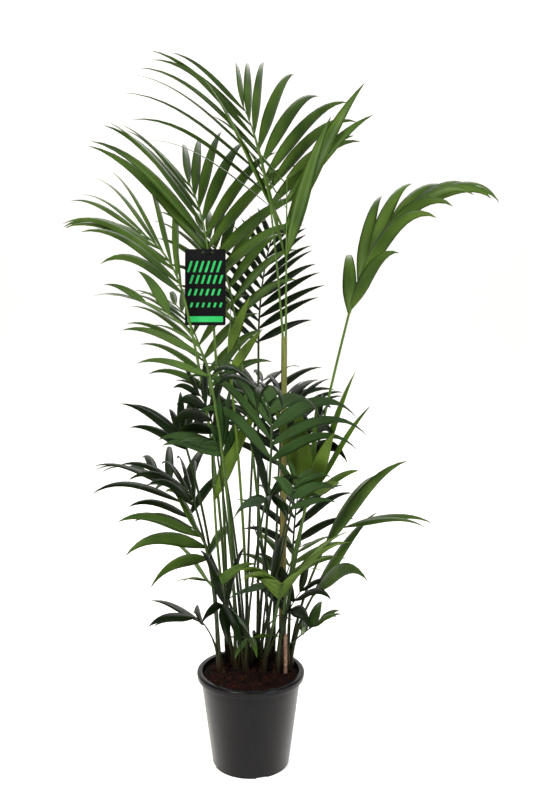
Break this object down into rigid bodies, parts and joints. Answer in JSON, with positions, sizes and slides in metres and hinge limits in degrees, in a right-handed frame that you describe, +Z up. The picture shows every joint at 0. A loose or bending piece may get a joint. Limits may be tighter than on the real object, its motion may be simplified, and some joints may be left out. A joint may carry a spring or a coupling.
{
  "type": "kentia palm",
  "caption": "Kentia palm in a round nursery pot: feather fronds on long petioles arch out of a clump of sheathed stems, with a hang tag. Indoor foliage plant.",
  "frame": {"origin": "centre of the pot's flat underside, on the floor that the plant stands on", "axes": "+Z up along the pot's axis, -Y to the front where the hang tag faces, +X to the right as seen from the front"},
  "size_m": [0.9355, 0.9616, 1.587],
  "materials": {
    "pot_plastic": "matte, charcoal",
    "peat_soil": "rough dark peat and coir",
    "stem_sheath": "matt fibrous leaf sheath, olive brown",
    "dry_petiole": "dry, straw coloured",
    "leaf_deep": "satin dark green leaf",
    "leaf_green": "satin mid green leaf",
    "leaf_fresh": "satin young green leaf",
    "tag_card": "satin printed card, near black",
    "tag_tie": "thin dark tie"
  },
  "bodies": {
    "root": {"frond_back_comb": "leaf_deep", "frond_back_foot": "leaf_green", "frond_back_left": "leaf_green", "frond_back_low_left": "leaf_deep", "frond_back_low_right": "leaf_deep", "frond_back_middle": "leaf_deep", "frond_back_right": "leaf_deep", "frond_back_tall": "leaf_green", "frond_base_centre": "leaf_green", "frond_base_front": "leaf_green", "frond_base_left": "leaf_deep", "frond_base_middle": "leaf_deep", "frond_base_right": "leaf_green", "frond_centre_bright": "leaf_fresh", "frond_centre_dark": "leaf_deep", "frond_centre_left_dark": "leaf_deep", "frond_centre_low": "leaf_deep", "frond_centre_low_front": "leaf_deep", "frond_centre_right_dark": "leaf_deep", "frond_far_left": "leaf_green", "frond_foot_left": "leaf_deep", "frond_foot_right": "leaf_deep", "frond_front_bright": "leaf_fresh", "frond_left_dark": "leaf_deep", "frond_left_fan": "leaf_deep", "frond_left_lance": "leaf_fresh", "frond_left_low_arch": "leaf_green", "frond_left_lower_1": "leaf_deep", "frond_left_lower_2": "leaf_green", "frond_left_lower_3": "leaf_green", "frond_left_tall": "leaf_green", "frond_right_bright": "leaf_fresh", "frond_right_dark": "leaf_deep", "frond_right_long": "leaf_green", "frond_right_lower": "leaf_green", "frond_right_vee": "leaf_green", "frond_top": "leaf_green", "frond_top_right": "leaf_green", "old_petiole_stub": "dry_petiole", "pot": "pot_plastic", "soil": "peat_soil", "stem_back": "stem_sheath", "stem_back_left": "stem_sheath", "stem_centre": "stem_sheath", "stem_centre_front": "stem_sheath", "stem_centre_right": "stem_sheath", "stem_left": "stem_sheath", "stem_left_back": "stem_sheath", "stem_left_front": "stem_sheath", "stem_left_low": "stem_sheath", "stem_middle": "stem_sheath", "stem_right": "stem_sheath", "stem_right_front": "stem_sheath", "stem_right_side": "stem_sheath", "stem_right_tall": "stem_sheath", "tag_card": "tag_card", "tag_tie": "tag_tie"}
  },
  "joints": []
}
